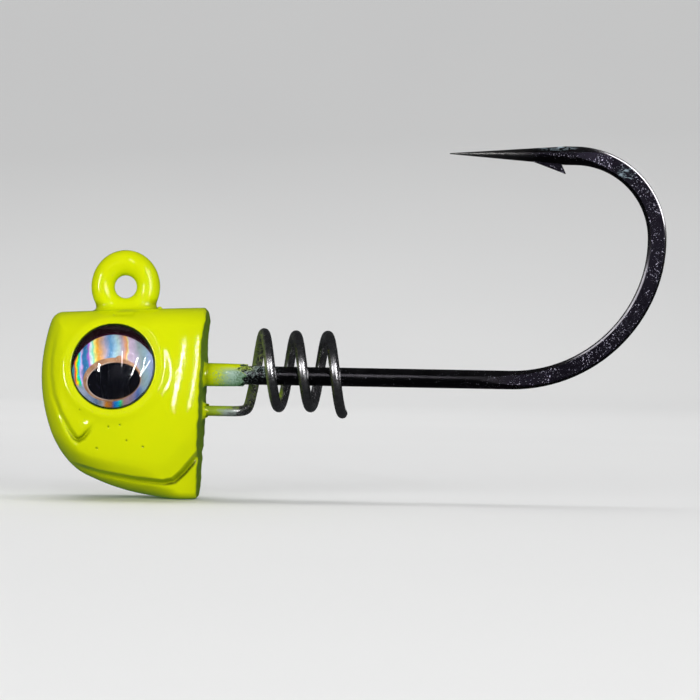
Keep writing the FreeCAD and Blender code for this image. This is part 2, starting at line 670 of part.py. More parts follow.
os.makedirs("parts", exist_ok=True)
for item in nodes:
    item.Shape.exportStep(f"parts/{item.Label}.step")
    box = item.Shape.BoundBox
    print(f"{item.Label:22s} solids {len(item.Shape.Solids)}  faces {len(item.Shape.Faces):3d}  "
          f"volume {item.Shape.Volume:9.3f}  x {box.XMin:6.2f} {box.XMax:6.2f}  "
          f"y {box.YMin:6.2f} {box.YMax:6.2f}  z {box.ZMin:6.2f} {box.ZMax:6.2f}")
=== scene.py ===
import math
import bmesh
import bpy
import numpy as np
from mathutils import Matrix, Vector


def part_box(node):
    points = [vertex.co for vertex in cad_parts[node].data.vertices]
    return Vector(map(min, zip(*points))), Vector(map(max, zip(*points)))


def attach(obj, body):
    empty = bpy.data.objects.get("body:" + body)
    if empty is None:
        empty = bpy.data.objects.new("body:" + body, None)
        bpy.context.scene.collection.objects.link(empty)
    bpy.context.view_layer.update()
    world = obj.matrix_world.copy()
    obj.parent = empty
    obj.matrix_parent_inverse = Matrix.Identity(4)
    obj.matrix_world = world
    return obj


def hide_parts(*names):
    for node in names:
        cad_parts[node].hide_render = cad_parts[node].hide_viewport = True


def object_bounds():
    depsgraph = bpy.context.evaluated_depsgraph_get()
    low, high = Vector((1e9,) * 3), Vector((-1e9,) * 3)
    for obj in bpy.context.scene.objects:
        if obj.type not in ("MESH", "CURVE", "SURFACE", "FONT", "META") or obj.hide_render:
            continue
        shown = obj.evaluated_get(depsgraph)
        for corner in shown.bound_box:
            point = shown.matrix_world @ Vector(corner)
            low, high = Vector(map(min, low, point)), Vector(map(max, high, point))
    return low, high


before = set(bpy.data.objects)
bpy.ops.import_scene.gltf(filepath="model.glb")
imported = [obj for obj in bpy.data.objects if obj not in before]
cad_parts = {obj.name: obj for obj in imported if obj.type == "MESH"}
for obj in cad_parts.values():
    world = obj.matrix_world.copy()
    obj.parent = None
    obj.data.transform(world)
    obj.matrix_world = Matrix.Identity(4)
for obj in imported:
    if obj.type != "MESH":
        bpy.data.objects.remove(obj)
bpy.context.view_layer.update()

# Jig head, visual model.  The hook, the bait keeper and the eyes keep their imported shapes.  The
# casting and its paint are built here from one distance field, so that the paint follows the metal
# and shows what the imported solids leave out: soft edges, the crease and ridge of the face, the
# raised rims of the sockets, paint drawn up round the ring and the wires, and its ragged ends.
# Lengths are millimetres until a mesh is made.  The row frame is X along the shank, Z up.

import openvdb
from mathutils import Matrix, Vector

MM = 0.001


def middle(node):
    low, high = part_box(node)
    return (Vector(low) + Vector(high)) / (2 * MM)


# ------------------------------------------------------------------ sizes

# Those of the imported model, with the outline and the flanks of the head moved by up to 0.2 mm.
RING_RADIUS, HOOK_WIRE, KEEPER_WIRE = 2.2, 1.8, 1.0
SHANK_Z, NECK_BEND = -8.27, 2.5
LEG_Z, LEG_FOOT = -11.75, 1.5
COAT = 0.3                        # thicker than packed where nothing shows it: the mesh stays whole
TOP_BACK = (7.78, -1.85)
TOP_SLOPE, BACK_RAKE = math.radians(2.7), math.radians(1.6)
NOSE, NOSE_RADIUS = (7.98, -8.34), 15.8
BELLY, BELLY_RADIUS = (5.9, 1.8), 22.0
CHIN_RADIUS, CORNER_RADIUS = 6.0, 1.25
HALF_WIDTH, WIDEST_X = 6.0, 3.0
CHEEK_RADIUS, TAIL_RADIUS = 24.3, 10.5
FLANK_RADIUS, LOW_RADIUS, FLANK_Z = 20.6, 28.0, -10.0
EYE_X, EYE_Z = -0.69, -7.56
SOCKET_RADIUS, SOCKET_DEPTH = 4.0, 0.9
SLEEVE_END, LEG_SLEEVE_END = 11.4, 8.0
SLEEVE_THICKNESS, SLEEVE_TAPER = 0.22, 0.04
# the painted ring: centre line, half thickness, and how much both grow at the crown
PAINTED_RING_X, PAINTED_RING_RADIUS, PAINTED_RING_HALF = 0.005, 2.18, 1.12
CROWN_RISE, CROWN_SWELL = 0.15, 0.10
NUB, NUB_RADIUS = (3.4, -1.2, -2.06), 0.24
FOLD = ((-0.7, -2.72), (1.0, -2.66))
RIM_REACH, RIM_WIDTH, RIM_HEIGHT = 4.75, 0.55, 0.13
EDGE_RADIUS = 1.25                # between outline and flanks, before it is varied along the edge
CREASE_WIDTH, JAW_STEP, JAW_GROOVE, PIT_RADIUS = 0.25, 0.78, 0.20, 0.10
SMALLEST_SHELL = 400              # vertices; a smaller shell of a field's mesh is a speck


# ------------------------------------------------------------------ distance fields

def smoothstep(low, high, value):
    t = np.clip((value - low) / (high - low), 0.0, 1.0)
    return t * t * (3 - 2 * t)


def blended(a, b, width):
    """Union of two fields with a soft joint."""
    h = np.clip(0.5 + 0.5 * (b - a) / width, 0.0, 1.0)
    return b + (a - b) * h - width * h * (1 - h)


def carved(a, b, width):
    """Field a without field b, its edge softened."""
    return -blended(-a, b, width)


def rounded_meet(a, b, radius):
    """Intersection of two fields with a round edge."""
    return (np.minimum(np.maximum(a, b) + radius, 0.0)
            + np.hypot(np.maximum(a + radius, 0.0), np.maximum(b + radius, 0.0)) - radius)


def segment(x, z, start, end):
    """Distance to a segment in the XZ plane."""
    along = (end[0] - start[0], end[1] - start[1])
    share = (x - start[0]) * along[0] + (z - start[1]) * along[1]
    share = np.clip(share / (along[0] ** 2 + along[1] ** 2), 0.0, 1.0)
    return np.hypot(x - start[0] - share * along[0], z - start[1] - share * along[1])


def rounded_corner(a, b, x, z, corner, a_out, b_out, radius):
    """Intersection of two plane fields whose corner is an exact arc about the given point."""
    cross = float(np.dot(a_out, b_out))
    a_side = b_out - cross * a_out
    b_side = a_out - cross * b_out
    vx, vz = x - corner[0], z - corner[1]
    in_wedge = (vx * a_side[0] + vz * a_side[1] > 0) & (vx * b_side[0] + vz * b_side[1] > 0)
    return np.where(in_wedge, np.hypot(vx, vz), np.maximum(a, b) + radius) - radius


def unit(vector):
    vector = np.array(vector, float)
    return vector / np.linalg.norm(vector)


def chin_corner():
    """Centre of the chin arc: where the nose and belly circles cross once moved in."""
    nose, belly = np.array(NOSE), np.array(BELLY)
    r1, r2 = NOSE_RADIUS - CHIN_RADIUS, BELLY_RADIUS - CHIN_RADIUS
    apart = belly - nose
    reach = np.linalg.norm(apart)
    along = (r1 ** 2 - r2 ** 2 + reach ** 2) / (2 * reach)
    aside = math.sqrt(r1 ** 2 - along ** 2)
    return nose + apart * along / reach + np.array((-apart[1], apart[0])) * aside / reach


def top_corner():
    """Centre of the arc between the top and the nose."""
    below = np.array((math.sin(TOP_SLOPE), -math.cos(TOP_SLOPE)))
    forward = np.array((-math.cos(TOP_SLOPE), -math.sin(TOP_SLOPE)))
    start = np.array(TOP_BACK) + below * CORNER_RADIUS
    offset = start - np.array(NOSE)
    half = float(offset @ forward)
    reach = (NOSE_RADIUS - CORNER_RADIUS) ** 2 - float(offset @ offset)
    return start + forward * (math.sqrt(half ** 2 + reach) - half)


CHIN, CORNER = chin_corner(), top_corner()


def outline(x, z):
    """Side outline of the head ahead of its flat back."""
    nose = np.hypot(x - NOSE[0], z - NOSE[1]) - NOSE_RADIUS
    belly = np.hypot(x - BELLY[0], z - BELLY[1]) - BELLY_RADIUS
    under = rounded_corner(nose, belly, x, z, CHIN, unit(CHIN - np.array(NOSE)),
                           unit(CHIN - np.array(BELLY)), CHIN_RADIUS)
    up = np.array((-math.sin(TOP_SLOPE), math.cos(TOP_SLOPE)))
    top = (x - TOP_BACK[0]) * up[0] + (z - TOP_BACK[1]) * up[1]
    return rounded_corner(top, under, x, z, CORNER, up, unit(CORNER - np.array(NOSE)),
                          CORNER_RADIUS)


def flank(x, side, z):
    """Both flanks, full at the widest section and at mid height."""
    plan = np.where(x < WIDEST_X, CHEEK_RADIUS, TAIL_RADIUS)
    out = np.hypot(x - WIDEST_X, side - HALF_WIDTH + plan) + HALF_WIDTH - plan
    bow = np.where(z < FLANK_Z, LOW_RADIUS, FLANK_RADIUS)
    return np.hypot(out - HALF_WIDTH + bow, z - FLANK_Z) - bow


# the face: a crease that runs down behind the nose, turns at a V and rises to the eye
CREASE = ((-5.9, -3.4), (-6.45, -5.2), (-6.7, -6.9), (-6.68, -8.6), (-6.35, -10.4), (-5.65, -12.1),
          (-4.8, -13.6), (-4.15, -14.45), (-3.8, -14.6), (-3.35, -14.35), (-2.65, -13.5),
          (-1.95, -12.6))
CREASE_TURN = 8                   # the point of the crease at its V
RIDGE = ((-2.2, -12.4), (-3.3, -14.9), (-4.5, -16.9))
JAW = ((-4.6, -16.85), (-2.0, -17.55), (1.6, -18.12), (4.2, -18.35), (5.1, -18.15), (5.9, -17.4),
       (7.2, -15.84), (9.0, -13.7))
PITS = ((-0.95, -13.3), (0.15, -13.1), (0.8, -14.55), (2.35, -15.1), (-2.05, -15.35))


def path_distance(x, z, path):
    """Distance to a broken line, with how far along it the nearest point is, from 0 to 1."""
    best = along = None
    for i, (start, end) in enumerate(zip(path, path[1:])):
        d = segment(x, z, start, end)
        direction = (end[0] - start[0], end[1] - start[1])
        share = ((x - start[0]) * direction[0] + (z - start[1]) * direction[1])
        share = np.clip(share / (direction[0] ** 2 + direction[1] ** 2), 0, 1)
        where = (i + share) / (len(path) - 1)
        if best is None:
            best, along = d, where
        else:
            nearer = d < best
            best, along = np.where(nearer, d, best), np.where(nearer, where, along)
    return best, along


def relief(x, z, inner):
    """How far details stand proud of the flanks; the metal's jaw step lies higher by inner."""
    crease, along = path_distance(x, z, CREASE)
    fade = smoothstep(0.0, 0.2, along) * (1 - smoothstep(0.84, 1.0, along))
    depth = (0.11 + 0.26 * smoothstep(0.3, 0.72, along)) * fade
    proud = -depth * np.exp(-(crease / CREASE_WIDTH) ** 2)
    front_arm, rear_arm = CREASE[CREASE_TURN::-1], CREASE[CREASE_TURN:]
    arm_x = np.interp(z.ravel(), [p[1] for p in front_arm], [p[0] for p in front_arm])
    arm_z = np.interp(x.ravel(), [p[0] for p in rear_arm], [p[1] for p in rear_arm])
    inside = (x > arm_x.reshape(x.shape)) & (z > arm_z.reshape(x.shape))
    cheek = np.where(inside, crease, -crease)
    raised = smoothstep(-0.35, 0.45, cheek) * np.exp(-(np.maximum(cheek, 0) / 1.8) ** 2)
    proud = proud + 0.12 * fade * raised
    ridge, share = path_distance(x, z, RIDGE)
    fade = smoothstep(0.0, 0.2, share) * (1 - smoothstep(0.7, 1.0, share))
    proud = proud + 0.10 * fade * np.exp(-(ridge / 0.5) ** 2)
    jaw, _ = path_distance(x, z, JAW)
    line = np.interp(x.ravel(), [p[0] for p in JAW], [p[1] for p in JAW]).reshape(x.shape)
    under = np.where(z < line, jaw, -jaw)
    below = under + inner
    start = smoothstep(-5.2, -2.6, x)
    proud = proud - start * (0.16 * smoothstep(-1.8, -0.1, below)
                             + JAW_STEP * smoothstep(-0.20, 0.24, below))
    foot = np.exp(-((under - 0.28) / 0.24) ** 2)
    proud = proud - JAW_GROOVE * smoothstep(-4.4, -1.5, x) * foot
    for pit_x, pit_z in PITS:
        proud = proud - 0.10 * np.exp(-((x - pit_x) ** 2 + (z - pit_z) ** 2) / PIT_RADIUS ** 2)
    return proud


YAW = math.asin((EYE_X - WIDEST_X) / CHEEK_RADIUS)
PITCH = math.asin((EYE_Z - FLANK_Z) / FLANK_RADIUS)
EYE_OUT = (math.sin(YAW) * math.cos(PITCH), math.cos(YAW) * math.cos(PITCH), math.sin(PITCH))
EYE_Y = (HALF_WIDTH - CHEEK_RADIUS * (1 - math.cos(YAW)) - FLANK_RADIUS * (1 - math.cos(PITCH)))


def head(x, y, z, inner=0.0):
    """The painted head without ring and sleeves."""
    side = np.abs(y)
    x2, z2 = np.broadcast_arrays(x, z)
    lift = relief(x2, z2, inner)
    front = smoothstep(-3.0, -6.5, x2) * (1 - smoothstep(-6.0, -3.0, z2))
    top = smoothstep(-6.0, -3.0, z2)
    tail = smoothstep(3.0, 7.0, x2) * smoothstep(-14.0, -17.0, z2)
    low = smoothstep(-14.0, -17.5, z2) * (1 - smoothstep(2.0, 6.0, x2))
    edge = EDGE_RADIUS + 0.65 * top + 1.1 * front - 0.55 * tail + 1.7 * low
    form = rounded_meet(outline(x2, z2), flank(x, side, z) - lift, edge)
    # raised rim and round floor of the socket
    ex, ey, ez = x - EYE_X, side - EYE_Y, z - EYE_Z
    rise = ex * EYE_OUT[0] + ey * EYE_OUT[1] + ez * EYE_OUT[2]
    reach = np.sqrt(np.maximum(ex ** 2 + ey ** 2 + ez ** 2 - rise ** 2, 0.0))
    rim = np.exp(-((reach - RIM_REACH) / RIM_WIDTH) ** 2)
    form = form - RIM_HEIGHT * rim * (np.abs(rise) < 3)
    # flat back, with thick paint along its upper edge and the lumps of a trimmed casting
    bulge = 0.20 * np.exp(-((z2 + 2.9) / 0.75) ** 2) * smoothstep(6.5, 4.5, side)
    bulge = bulge + (0.16 + 0.12 * smoothstep(-16.5, -19.0, z2)) * smoothstep(0.0, 4.5, y)
    lumps = 0.05 * (np.sin(2.1 * z + 1.3 * np.sin(1.7 * side)) * np.sin(1.9 * side + 0.6 * z)
                    + 0.5 * np.sin(5.3 * z + 0.8) * np.sin(4.7 * side + 1.1))
    back = ((x - TOP_BACK[0]) * math.cos(BACK_RAKE) - (z - TOP_BACK[1]) * math.sin(BACK_RAKE)
            - bulge - lumps * smoothstep(7.0, 7.4, x))
    form = rounded_meet(form, back, 0.24)
    socket = np.maximum(reach - SOCKET_RADIUS, -(rise + SOCKET_DEPTH))
    return carved(form, socket, 0.22)


def painted(x, y, z):
    """Outer surface of the paint: head, ring, sleeves on both wires."""
    form = head(x, y, z)
    # ring, drawn up taller and thicker at its crown
    around = np.hypot(x - PAINTED_RING_X, z)
    crown = (np.maximum(z, 0) / np.maximum(around, 0.01)) ** 2
    ring = (np.hypot(around - PAINTED_RING_RADIUS - CROWN_RISE * crown, y)
            - PAINTED_RING_HALF - CROWN_SWELL * crown)
    form = blended(form, ring, 0.95)
    # fold where the paint on the ring meets the top
    fold = segment(x, z, *FOLD)
    form = form + 0.09 * np.exp(-(fold / 0.17) ** 2) * smoothstep(2.2, 3.4, np.abs(y))
    nub = np.sqrt((x - NUB[0]) ** 2 + (y - NUB[1]) ** 2 + (z - NUB[2]) ** 2) - NUB_RADIUS
    form = blended(form, nub, 0.12)
    # sleeves, thinning away from the head and broken off along a ragged line
    for axis_z, wire, end, width in ((SHANK_Z, HOOK_WIRE, SLEEVE_END, 0.45),
                                     (LEG_Z, KEEPER_WIRE, LEG_SLEEVE_END, 0.65)):
        up = z - axis_z
        turn = np.arctan2(up, y)
        ragged = (0.30 * np.sin(3 * turn + 1.0) + 0.20 * np.sin(7 * turn + 2.0)
                  + 0.09 * np.sin(13 * turn))
        ragged = ragged * wire / HOOK_WIRE
        thin = smoothstep(end - 3.0, end, x + ragged)
        radius = wire / 2 + SLEEVE_THICKNESS - SLEEVE_TAPER * thin
        tube = np.maximum(np.hypot(y, up) - radius, WIDEST_X - x)
        tube = rounded_meet(tube, x - end + ragged, 0.1)
        form = blended(form, tube, width)
    return form


def wires(x, y, z):
    """Hook and keeper wire inside the head and its sleeves."""
    neck_end = SHANK_Z + NECK_BEND
    neck = segment(x, z, (0.0, -RING_RADIUS), (0.0, neck_end))
    turn = np.abs(np.hypot(x - NECK_BEND, z - neck_end) - NECK_BEND)
    turn = np.where((x < NECK_BEND) & (z < neck_end), turn, 99.0)
    shank = segment(x, z, (NECK_BEND, SHANK_Z), (20.0, SHANK_Z))
    hook = np.hypot(np.minimum(np.minimum(neck, turn), shank), y)
    ring = np.hypot(np.hypot(x, z) - RING_RADIUS, y)
    keeper = np.hypot(segment(x, z, (LEG_FOOT, LEG_Z), (20.0, LEG_Z)), y)
    return np.minimum(np.minimum(hook, ring) - HOOK_WIRE / 2, keeper - KEEPER_WIRE / 2)


CLEAR = 0.012                     # keeps neighbouring surfaces apart


def paint_field(x, y, z):
    cavity = np.minimum(head(x, y, z, COAT) + COAT - CLEAR, wires(x, y, z) - CLEAR)
    return np.maximum(painted(x, y, z), -cavity)


def casting_field(x, y, z):
    return np.maximum(head(x, y, z, COAT) + COAT, CLEAR - wires(x, y, z))


# ------------------------------------------------------------------ meshes from fields

def gradient(field, points, reach=0.01):
    parts = []
    for axis in range(3):
        step = np.zeros(3)
        step[axis] = reach
        ahead, behind = (points + step).T, (points - step).T
        parts.append((field(*ahead) - field(*behind)) / (2 * reach))
    return np.stack(parts, axis=1)


def field_mesh(name, field, low, high, step, hidden=None, keep_hidden=0.1):
    """Closed quad mesh of a field's zero surface, with normals taken from the field.

    Faces that hidden() marks are thinned to the given share: nothing shows them."""
    axes = [np.arange(a, b + step, step) for a, b in zip(low, high)]
    y, z = axes[1].reshape(1, -1, 1), axes[2].reshape(1, 1, -1)
    slabs = []
    for part in np.array_split(axes[0], max(1, len(axes[0]) // 12)):
        x = part.reshape(-1, 1, 1)
        slab = field(x, y, z)
        slabs.append(np.broadcast_to(slab, (len(part), y.size, z.size)).astype(np.float32))
    grid = openvdb.FloatGrid(3.0 * step)
    grid.copyFromArray(np.clip(np.concatenate(slabs), -3 * step, 3 * step))
    points, quads = grid.convertToQuads(isovalue=0.0)
    points = points.astype(float) * step + np.array(low)
    for _ in range(4):
        slope = gradient(field, points)
        value = field(*points.T)
        steep = np.maximum((slope ** 2).sum(1), 0.25)
        move = slope * (value / steep)[:, None]
        length = np.linalg.norm(move, axis=1, keepdims=True)
        points = points - move * np.minimum(1.0, 0.35 * step / np.maximum(length, 1e-9))
    corners = points[quads]
    normals = np.cross(corners[:, 2] - corners[:, 0], corners[:, 3] - corners[:, 1])
    outward = gradient(field, corners.mean(1))
    if np.mean((normals * outward).sum(1)) < 0:
        quads = quads[:, ::-1]
    mesh = bpy.data.meshes.new(name)
    mesh.from_pydata((points * MM).tolist(), [], quads.tolist())
    obj = bpy.data.objects.new(name, mesh)
    bpy.context.scene.collection.objects.link(obj)
    if hidden is not None:
        group = obj.vertex_groups.new(name="hidden")
        marked = np.flatnonzero(hidden(*points.T))
        group.add(marked.tolist(), 1.0, "REPLACE")
        thin = obj.modifiers.new("thin", "DECIMATE")
        thin.vertex_group = group.name
        thin.ratio = 1 - (1 - keep_hidden) * len(marked) / len(points)
        graph = bpy.context.evaluated_depsgraph_get()
        mesh = bpy.data.meshes.new_from_object(obj.evaluated_get(graph))
        obj.modifiers.clear()
        obj.vertex_groups.clear()
        obj.data = mesh
        mesh.name = name
    drop_specks(mesh)
    mesh.polygons.foreach_set("use_smooth", [True] * len(mesh.polygons))
    points = np.empty(len(mesh.vertices) * 3)
    mesh.vertices.foreach_get("co", points)
    slope = gradient(field, points.reshape(-1, 3) / MM)
    slope /= np.maximum(np.linalg.norm(slope, axis=1, keepdims=True), 1e-9)
    mesh.normals_split_custom_set_from_vertices(slope.tolist())
    return obj


def drop_specks(mesh):
    """Delete the tiny shells that a field leaves where two surfaces nearly touch."""
    work = bmesh.new()
    work.from_mesh(mesh)
    seen, specks = set(), []
    for start in work.verts:
        if start.index in seen:
            continue
        shell, front = [], [start]
        seen.add(start.index)
        while front:
            vert = front.pop()
            shell.append(vert)
            for edge in vert.link_edges:
                other = edge.other_vert(vert)
                if other.index not in seen:
                    seen.add(other.index)
                    front.append(other)
        if len(shell) < SMALLEST_SHELL:
            specks.extend(shell)
    bmesh.ops.delete(work, geom=specks, context="VERTS")
    work.to_mesh(mesh)
    work.free()


FINE, COARSE = (0.13), 0.3
FIELD_LOW, FIELD_HIGH = (-8.3, -6.9, -21.0), (12.3, 6.9, 4.1)


def under_paint(x, y, z):
    return painted(x, y, z) < -0.1


paint = field_mesh("paint_coat", paint_field, FIELD_LOW, FIELD_HIGH, FINE, hidden=under_paint)
casting = field_mesh("lead_casting", casting_field, FIELD_LOW, FIELD_HIGH, COARSE)
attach(paint, "root")
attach(casting, "root")
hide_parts("powder_coat")
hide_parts("head_casting")


# ------------------------------------------------------------------ materials

class Shader:
    """A node material.  Values passed between its methods are numbers, colours or node outputs."""

    def __init__(self, name):
        self.material = bpy.data.materials.new(name)
        self.material.use_nodes = True
        self.tree = self.material.node_tree
        self.tree.nodes.clear()
        place = self.node("ShaderNodeTexCoord").outputs["Object"]
        self.place = self.vector("SCALE", place, scale=1 / MM)
        parts = self.node("ShaderNodeSeparateXYZ", {0: self.place})
        self.x, self.y, self.z = parts.outputs
        facing = self.node("ShaderNodeNewGeometry").outputs["Normal"]
        self.nx, self.ny, self.nz = self.node("ShaderNodeSeparateXYZ", {0: facing}).outputs

    def node(self, kind, inputs=None, **settings):
        made = self.tree.nodes.new(kind)
        for key, value in settings.items():
            setattr(made, key, value)
        for key, value in (inputs or {}).items():
            if isinstance(value, bpy.types.NodeSocket):
                self.tree.links.new(value, made.inputs[key])
            elif value is not None:
                socket = made.inputs[key]
                if socket.type == "RGBA" and len(value) == 3:
                    value = (*value, 1.0)
                socket.default_value = value
        return made

    def math(self, operation, *values, clamp=False):
        made = self.node("ShaderNodeMath", dict(enumerate(values)), operation=operation,
                         use_clamp=clamp)
        return made.outputs[0]

    def vector(self, operation, *values, scale=None):
        inputs = dict(enumerate(values))
        if scale is not None:
            inputs[3] = scale
        made = self.node("ShaderNodeVectorMath", inputs, operation=operation)
        return made.outputs["Value" if operation in ("LENGTH", "DOT_PRODUCT") else "Vector"]

    def mix(self, share, first, second, blend="MIX"):
        made = self.node("ShaderNodeMix", {0: share, 6: first, 7: second}, data_type="RGBA",
                         blend_type=blend)
        return made.outputs[2]

    def lerp(self, share, first, second):
        made = self.node("ShaderNodeMix", {0: share, 2: first, 3: second}, data_type="FLOAT")
        return made.outputs[0]

    def step(self, low, high, value):
        """0 at low, 1 at high, smooth between."""
        made = self.node("ShaderNodeMapRange", {0: value, 1: low, 2: high, 3: 0.0, 4: 1.0},
                         interpolation_type="SMOOTHSTEP")
        return made.outputs[0]

    def range(self, value, low, high):
        """A value from 0 to 1 taken to low to high."""
        made = self.node("ShaderNodeMapRange", {0: value, 1: 0.0, 2: 1.0, 3: low, 4: high})
        return made.outputs[0]

    def noise(self, scale, detail=3.0, roughness=0.55, stretch=None, distortion=0.0):
        """Noise with scale given per millimetre."""
        place = self.place
        if stretch:
            place = self.vector("MULTIPLY", place, stretch)
        made = self.node("ShaderNodeTexNoise", {"Vector": place, "Scale": scale, "Detail": detail,
                                                "Roughness": roughness, "Distortion": distortion})
        return made.outputs[0]

    def cells(self, scale, feature="F1"):
        return self.node("ShaderNodeTexVoronoi", {"Vector": self.place, "Scale": scale},
                         feature=feature).outputs[0]

    def ramp(self, share, stops, interpolation="LINEAR"):
        made = self.node("ShaderNodeValToRGB", {0: share})
        made.color_ramp.interpolation = interpolation
        elements = made.color_ramp.elements
        while len(elements) < len(stops):
            elements.new(0.5)
        for element, (position, colour) in zip(elements, stops):
            element.position = position
            element.color = (*colour, 1.0) if len(colour) == 3 else colour
        return made.outputs[0]

    def bump(self, height, depth, normal=None):
        """Bump whose full height is depth millimetres."""
        reach = self.math("MULTIPLY", depth, MM)
        made = self.node("ShaderNodeBump", {"Height": height, "Distance": reach, "Strength": 1.0})
        if normal is not None:
            self.tree.links.new(normal, made.inputs["Normal"])
        return made.outputs[0]

    def near(self, x, z, reach_x, reach_z):
        """1 at a point of the side view, 0 beyond the reaches."""
        across = self.math("DIVIDE", self.math("SUBTRACT", self.x, x), reach_x)
        up = self.math("DIVIDE", self.math("SUBTRACT", self.z, z), reach_z)
        away = self.math("ADD", self.math("MULTIPLY", across, across),
                         self.math("MULTIPLY", up, up))
        return self.step(1.0, 0.0, away)

    def surface(self, **inputs):
        names = {key: key.replace("_", " ").title().replace("Ior", "IOR") for key in inputs}
        named = {names[key]: value for key, value in inputs.items()}
        return self.node("ShaderNodeBsdfPrincipled", named).outputs[0]

    def finish(self, surface):
        self.node("ShaderNodeOutputMaterial", {0: surface})
        return self.material


def chartreuse():
    s = Shader("chartreuse_powder_coat")
    cloud = s.noise(0.35, 3.0)
    colour = s.mix(cloud, (0.80, 0.80, 0.002), (0.70, 0.76, 0.002))
    speckle = s.step(0.66, 0.74, s.noise(9.0, 2.0, 0.6))
    colour = s.mix(s.math("MULTIPLY", speckle, 0.12), colour, (0.40, 0.52, 0.01))
    # painted shade: the colour darkens almost to black where ambient occlusion is strong, round the
    # eyes and wires and in the creases
    near_all, near_self = (s.node("ShaderNodeAmbientOcclusion", {"Distance": 1.3 * MM}, samples=8,
                                  only_local=alone).outputs["AO"] for alone in (False, True))
    painted_crease_shade = s.lerp(s.step(-14.0, -15.5, s.z), s.step(0.92, 0.45, near_all),
                    s.step(0.97, 0.60, near_self))
    colour = s.mix(painted_crease_shade, colour, (0.03, 0.042, 0.001))
    # the trimmed back: painted shade, a darker green on that face, with pale dusty patches
    back = s.math("MULTIPLY", s.step(0.75, 0.97, s.nx), s.step(6.6, 7.0, s.x))
    chalk = s.math("MULTIPLY", back, s.step(0.45, 0.75, s.noise(3.0, 4.0, 0.7)))
    colour = s.mix(s.math("MULTIPLY", back, 0.9), colour, (0.14, 0.27, 0.002))
    colour = s.mix(s.math("MULTIPLY", chalk, 0.45), colour, (0.26, 0.36, 0.14))
    # mist at the ends of the sleeves
    grain = s.noise(6.0, 4.0, 0.75)
    pale = s.math("ADD", s.math("MULTIPLY", s.math("SUBTRACT", s.x, 8.6), 0.8),
                  s.math("MULTIPLY", s.math("SUBTRACT", grain, 0.5), 4.0), clamp=True)
    pale = s.math("MULTIPLY", pale, s.step(0.8, 0.3, s.nz))
    powder = s.mix(s.step(8.8, 10.4, s.x), (0.30, 0.42, 0.20), (0.36, 0.46, 0.42))
    colour = s.mix(pale, colour, powder)
    bare = s.math("ADD", s.math("MULTIPLY", s.math("SUBTRACT", s.x, 10.3), 0.6),
                  s.math("MULTIPLY", s.math("SUBTRACT", s.noise(5.0, 4.0, 0.8), 0.5), 4.0),
                  clamp=True)
    colour = s.mix(s.math("MULTIPLY", bare, pale), colour, (0.05, 0.07, 0.04))
    # the pits drawn darker in colour
    dots = None
    for x, z in PITS:
        dot = s.near(x, z, 0.13, 0.13)
        dots = dot if dots is None else s.math("MAXIMUM", dots, dot)
    colour = s.mix(s.math("MULTIPLY", dots, 0.6), colour, (0.20, 0.26, 0.0))
    peel = s.noise(1.9, 2.0, 0.5)
    fine = s.noise(7.0, 2.0, 0.5)
    normal = s.bump(peel, 0.012)
    normal = s.bump(fine, 0.0009, normal)
    normal = s.bump(s.noise(4.0, 4.0, 0.7), s.range(back, 0.0, 0.09), normal)
    rough = s.range(s.noise(1.5, 3.0), 0.045, 0.11)
    rough = s.math("ADD", rough, s.math("MULTIPLY", back, 0.35))
    # painted glow: a faint green emission over the paint, fainter on the back and in the painted
    # shade, that greens the shaded parts
    painted_green_glow = s.mix(s.math("MAXIMUM", back, painted_crease_shade), (0.0, 0.05, 0.0), (0.0, 0.01, 0.0))
    return s.finish(s.surface(base_color=colour, roughness=rough, normal=normal, ior=1.5,
                              specular_ior_level=0.35, emission_color=painted_green_glow, emission_strength=1.0))


def lead():
    s = Shader("cast_lead")
    cloud = s.noise(0.8, 5.0, 0.65)
    colour = s.ramp(cloud, ((0.3, (0.13, 0.13, 0.14)), (0.7, (0.30, 0.30, 0.32))))
    normal = s.bump(s.noise(2.5, 5.0, 0.65), 0.05)
    return s.finish(s.surface(base_color=colour, metallic=0.9, roughness=s.range(cloud, 0.45, 0.7),
                              normal=normal))


